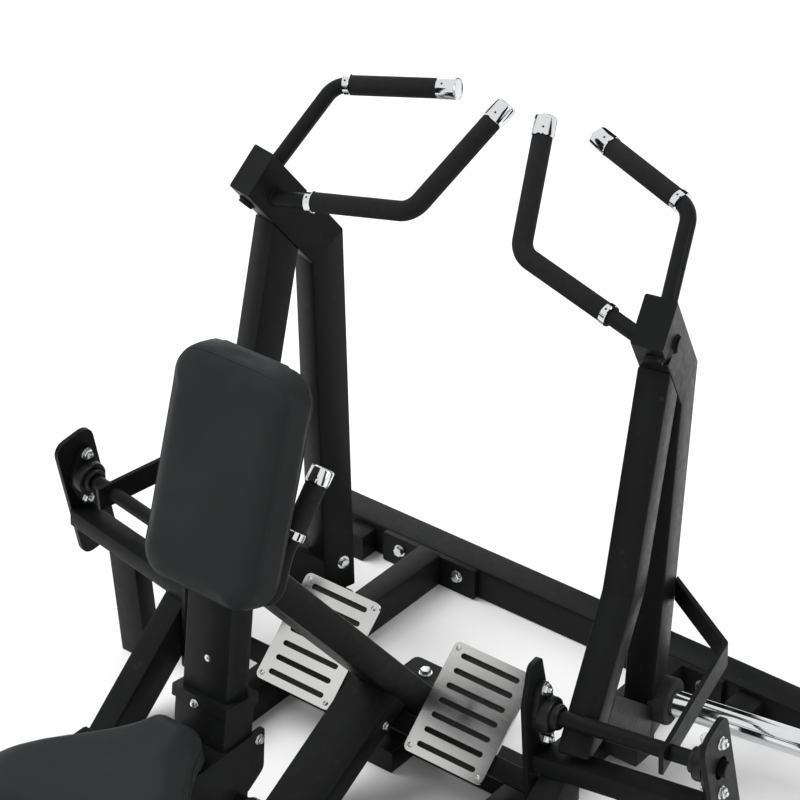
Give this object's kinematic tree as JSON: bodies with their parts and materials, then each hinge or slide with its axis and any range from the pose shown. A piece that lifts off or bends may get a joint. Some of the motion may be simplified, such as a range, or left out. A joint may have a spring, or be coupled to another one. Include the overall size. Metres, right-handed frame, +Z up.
{
  "type": "plate-loaded row machine",
  "caption": "Plate-loaded row machine with swinging handle arms on flange bearings, chest pad, sliding saddle seat and slotted foot plates on a welded tube frame.",
  "frame": {"origin": "middle of the floor print, on the floor", "axes": "+X to the user's right, +Y the way the seated user faces, +Z up"},
  "size_m": [1.6818, 1.627, 1.2337],
  "materials": {
    "frame_paint": "satin black powder coat",
    "bearing_iron": "black painted cast housing",
    "foam_grip": "dense foam grip",
    "chrome": "polished chrome",
    "collar_rubber": "moulded rubber washer",
    "stop_rubber": "moulded rubber buffer",
    "brushed_steel": "brushed stainless plate",
    "vinyl": "charcoal upholstery vinyl",
    "board": "black stained plywood"
  },
  "bodies": {
    "frame": {"front_beam": "frame_paint", "rear_frame": "frame_paint", "mid_beam": "frame_paint", "post": "frame_paint", "strut": "frame_paint", "ramp_tube": "frame_paint", "pad_board": "board", "chest_pad": "vinyl", "foot_bar": "frame_paint", "left_rail": "frame_paint", "left_inner_plate": "frame_paint", "left_outer_plate": "frame_paint", "left_inner_bearing": "bearing_iron", "left_outer_bearing": "bearing_iron", "left_raised_beam": "frame_paint", "left_leg": "frame_paint", "left_side_brace": "frame_paint", "left_stop": "stop_rubber", "left_foot_plate": "brushed_steel", "left_grab_handle": "frame_paint", "left_grab_grip": "foam_grip", "right_rail": "frame_paint", "right_inner_plate": "frame_paint", "right_outer_plate": "frame_paint", "right_inner_bearing": "bearing_iron", "right_outer_bearing": "bearing_iron", "right_raised_beam": "frame_paint", "right_leg": "frame_paint", "right_side_brace": "frame_paint", "right_stop": "stop_rubber", "right_foot_plate": "brushed_steel", "right_grab_handle": "frame_paint", "right_grab_grip": "foam_grip"},
    "left_arm": {"left_shaft": "frame_paint", "left_front_tube": "frame_paint", "left_rear_tube": "frame_paint", "left_head_tube": "frame_paint", "left_link": "frame_paint", "left_outer_brace": "frame_paint", "left_weight_horn": "chrome", "left_horn_collar": "collar_rubber", "left_upper_handle": "frame_paint", "left_upper_grip": "foam_grip", "left_lower_handle": "frame_paint", "left_lower_grip": "foam_grip"},
    "right_arm": {"right_shaft": "frame_paint", "right_front_tube": "frame_paint", "right_rear_tube": "frame_paint", "right_head_tube": "frame_paint", "right_link": "frame_paint", "right_outer_brace": "frame_paint", "right_weight_horn": "chrome", "right_horn_collar": "collar_rubber", "right_upper_handle": "frame_paint", "right_upper_grip": "foam_grip", "right_lower_handle": "frame_paint", "right_lower_grip": "foam_grip"},
    "seat": {"seat_pad": "vinyl", "seat_carriage": "frame_paint"},
    "pull_pin": {"seat_pin": "chrome"}
  },
  "joints": [
    {"name": "left_arm_swing", "type": "hinge", "parent": "frame", "child": "left_arm", "pos_m": [-0.5, 0.1565, 0.354], "axis": [0.9911, -0.1189, -0.0595], "range_deg": [0, 40]},
    {"name": "right_arm_swing", "type": "hinge", "parent": "frame", "child": "right_arm", "pos_m": [0.5, 0.1565, 0.354], "axis": [0.9911, 0.1189, 0.0595], "range_deg": [0, 40]},
    {"name": "seat_height", "type": "slide", "parent": "frame", "child": "seat", "axis": [0, 0.127, 0.9919], "range_m": [-0.09, 0.09]},
    {"name": "seat_pin_pull", "type": "slide", "parent": "seat", "child": "pull_pin", "axis": [1, 0, 0], "range_m": [0, 0.014], "stiffness_N_per_m": 1500}
  ]
}
